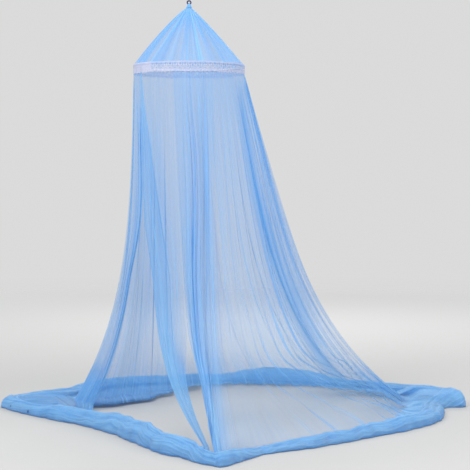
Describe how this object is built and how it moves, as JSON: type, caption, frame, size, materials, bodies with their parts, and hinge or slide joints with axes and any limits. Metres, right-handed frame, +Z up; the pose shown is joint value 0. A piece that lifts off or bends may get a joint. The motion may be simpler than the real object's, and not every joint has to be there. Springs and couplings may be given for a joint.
{
  "type": "mosquito net canopy with hoop",
  "caption": "Blue mosquito net canopy: a gathered cone over a hoop, a white lace band, and a full skirt spread on the ground with an open door and a ring to hang it by",
  "frame": {"origin": "where the ceiling hook bears on the hanging ring, at the top of the ring", "axes": "+Z up, +X to the right and -Y to the front, with the door facing the front left"},
  "size_m": [2.6214, 2.4663, 2.2492],
  "materials": {
    "ring_plastic": "smooth navy plastic",
    "binding_tape": "woven blue tape, bound tight",
    "cone_net": "fine sheer polyester net",
    "hoop_plastic": "plain white tube",
    "lace": "white openwork lace with a scalloped edge",
    "skirt_net": "fine sheer polyester net"
  },
  "bodies": {
    "root": {"hanging_ring": "ring_plastic", "crown_binding": "binding_tape", "top_net": "cone_net", "hoop": "hoop_plastic", "lace_band": "lace", "skirt_net": "skirt_net"}
  },
  "joints": []
}
